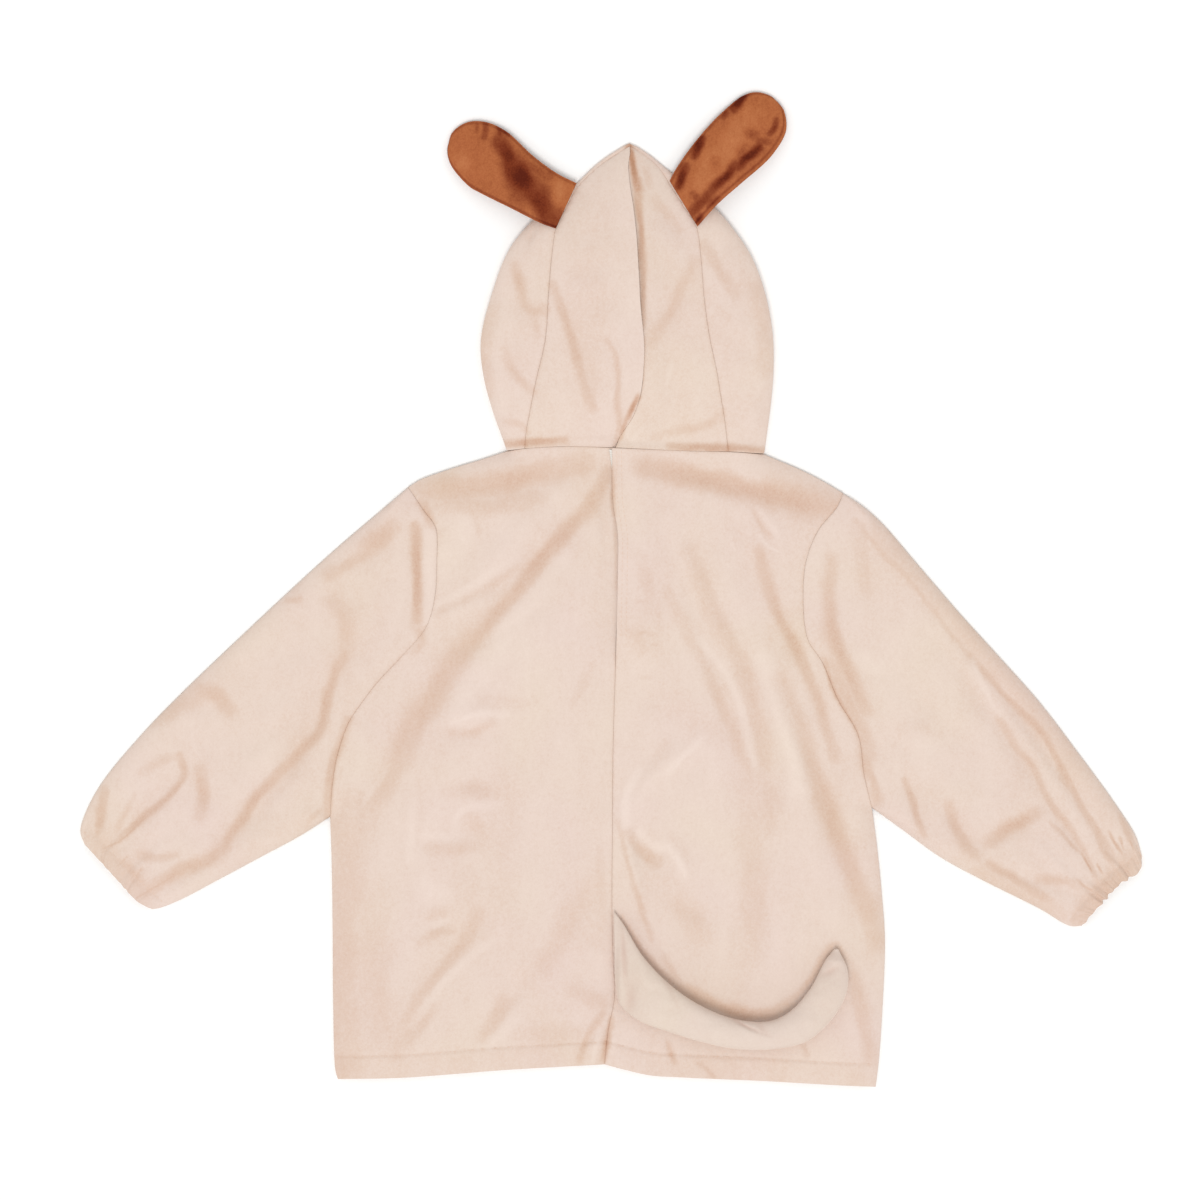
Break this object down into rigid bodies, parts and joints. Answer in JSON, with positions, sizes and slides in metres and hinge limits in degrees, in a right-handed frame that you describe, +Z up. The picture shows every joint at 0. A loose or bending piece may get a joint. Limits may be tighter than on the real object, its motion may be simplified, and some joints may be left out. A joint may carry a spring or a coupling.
{
  "type": "pug costume, laid flat",
  "caption": "Child's hooded costume top with ears, long elastic-cuffed sleeves and a stuffed tail, laid flat with its back up.",
  "frame": {"origin": "on the surface that the costume lies on, under the middle of the whole outline, on the front panel's flat underside", "axes": "+Z up, out of the costume's back; +Y towards the hood; +X to the right in the picture, where the tail points"},
  "size_m": [0.8496, 0.7959, 0.0303],
  "materials": {
    "cream_velvet": "short-pile polyester velvet, peach cream",
    "pale_velvet": "short-pile velvet, paler cream, stuffed",
    "brown_velvet": "short-pile velvet, brown with darker nap",
    "hook_tape": "hook and loop tape, off-white"
  },
  "bodies": {
    "root": {"front_body": "cream_velvet", "back_left": "cream_velvet", "back_right": "cream_velvet", "closure_tape": "hook_tape", "sleeve_left": "cream_velvet", "sleeve_right": "cream_velvet", "hood_centre_left": "cream_velvet", "hood_centre_right": "cream_velvet", "hood_side_left": "cream_velvet", "hood_side_right": "cream_velvet", "ear_left": "brown_velvet", "ear_right": "brown_velvet", "tail": "pale_velvet"}
  },
  "joints": []
}
